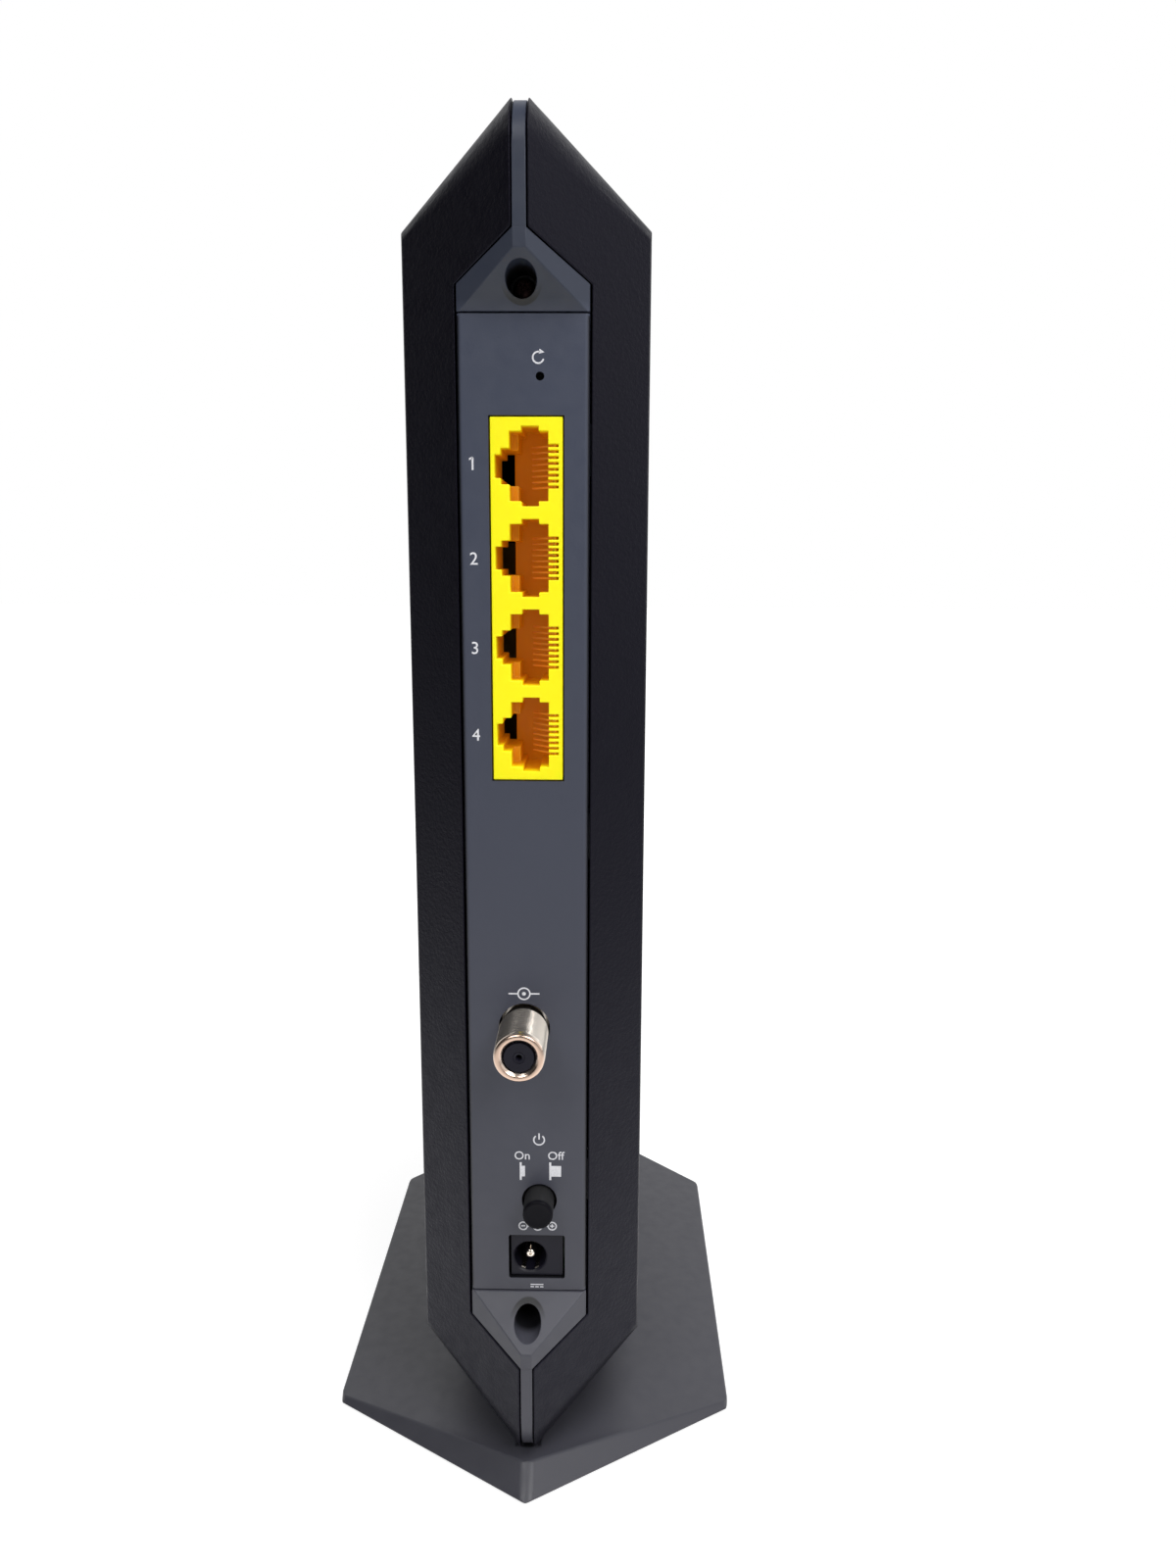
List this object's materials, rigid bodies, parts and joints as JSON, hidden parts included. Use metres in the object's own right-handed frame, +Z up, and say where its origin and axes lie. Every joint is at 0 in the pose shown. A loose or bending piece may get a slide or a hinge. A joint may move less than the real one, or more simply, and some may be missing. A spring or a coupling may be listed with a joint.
{
  "type": "cable modem router",
  "caption": "Upright cable router on a hexagonal stand, seen from its connector edge: recessed panel with network sockets, coaxial port, push button and power inlet.",
  "frame": {"origin": "bottom centre of the whole product, on the table under the stand", "axes": "+Z up, -Y the side with the connectors, +Y the side with the indicator strip, +X right for someone who faces the connectors"},
  "size_m": [0.0854, 0.163, 0.2588],
  "materials": {
    "cover_black": "fine moulded grain",
    "frame_grey": "fine matte",
    "dark_screw": "dark plated",
    "jack_yellow": "smooth",
    "nickel": "bright nickel plate",
    "gold": "gold flash",
    "black_moulding": "smooth",
    "button_black": "satin",
    "circuit_board": "solder mask",
    "steel_screw": "zinc plated",
    "chip_black": "moulded",
    "soft_pad": "soft",
    "sink_aluminium": "extruded",
    "clear_plastic": "clear",
    "tinned_sheet": "tinned",
    "tinted_lens": "smoked",
    "ferrite": "moulded",
    "can_aluminium": "plain",
    "foot_rubber": "soft"
  },
  "bodies": {
    "router": {"left_cover": "cover_black", "right_cover": "cover_black", "spine_frame": "frame_grey", "io_panel": "frame_grey", "case_screws": "dark_screw", "ethernet_jack": "jack_yellow", "coax_shell": "nickel", "coax_insulator": "black_moulding", "coax_contact": "gold", "inlet_housing": "black_moulding", "inlet_pin": "nickel", "inlet_spring": "nickel", "power_switch": "black_moulding", "reset_switch": "black_moulding", "main_board": "circuit_board", "board_screws": "steel_screw", "processor": "chip_black", "thermal_pad": "soft_pad", "heat_sink": "sink_aluminium", "heat_sink_pins": "clear_plastic", "tuner_frame": "tinned_sheet", "tuner_lid": "tinned_sheet", "indicator_leds": "clear_plastic", "indicator_lens": "tinted_lens", "light_guide": "clear_plastic", "stand": "frame_grey", "memory_chip_1": "chip_black", "memory_chip_2": "chip_black", "flash_chip": "chip_black", "ethernet_chip": "chip_black", "wifi_chip_1": "chip_black", "wifi_chip_2": "chip_black", "magnetics_1": "chip_black", "magnetics_2": "chip_black", "crystal": "tinned_sheet", "inductor_1": "ferrite", "inductor_2": "ferrite", "capacitor_1": "can_aluminium", "capacitor_2": "can_aluminium", "capacitor_3": "can_aluminium", "wifi_antenna_1": "tinned_sheet", "wifi_antenna_2": "tinned_sheet", "port_1_contacts": "gold", "port_2_contacts": "gold", "port_3_contacts": "gold", "port_4_contacts": "gold", "foot_1": "foot_rubber", "foot_2": "foot_rubber", "foot_3": "foot_rubber", "foot_4": "foot_rubber", "foot_5": "foot_rubber", "foot_6": "foot_rubber"},
    "power_push": {"power_button": "button_black", "power_plunger": "black_moulding"},
    "reset_push": {"reset_plunger": "button_black"}
  },
  "joints": [
    {"name": "power_button_press", "type": "slide", "parent": "router", "child": "power_push", "axis": [0, 1, 0], "range_m": [0, 0.003], "stiffness_N_per_m": 350, "springref_m": -0.001},
    {"name": "reset_press", "type": "slide", "parent": "router", "child": "reset_push", "axis": [0, 1, 0], "range_m": [0, 0.0003], "stiffness_N_per_m": 2000, "springref_m": -0.0003}
  ]
}
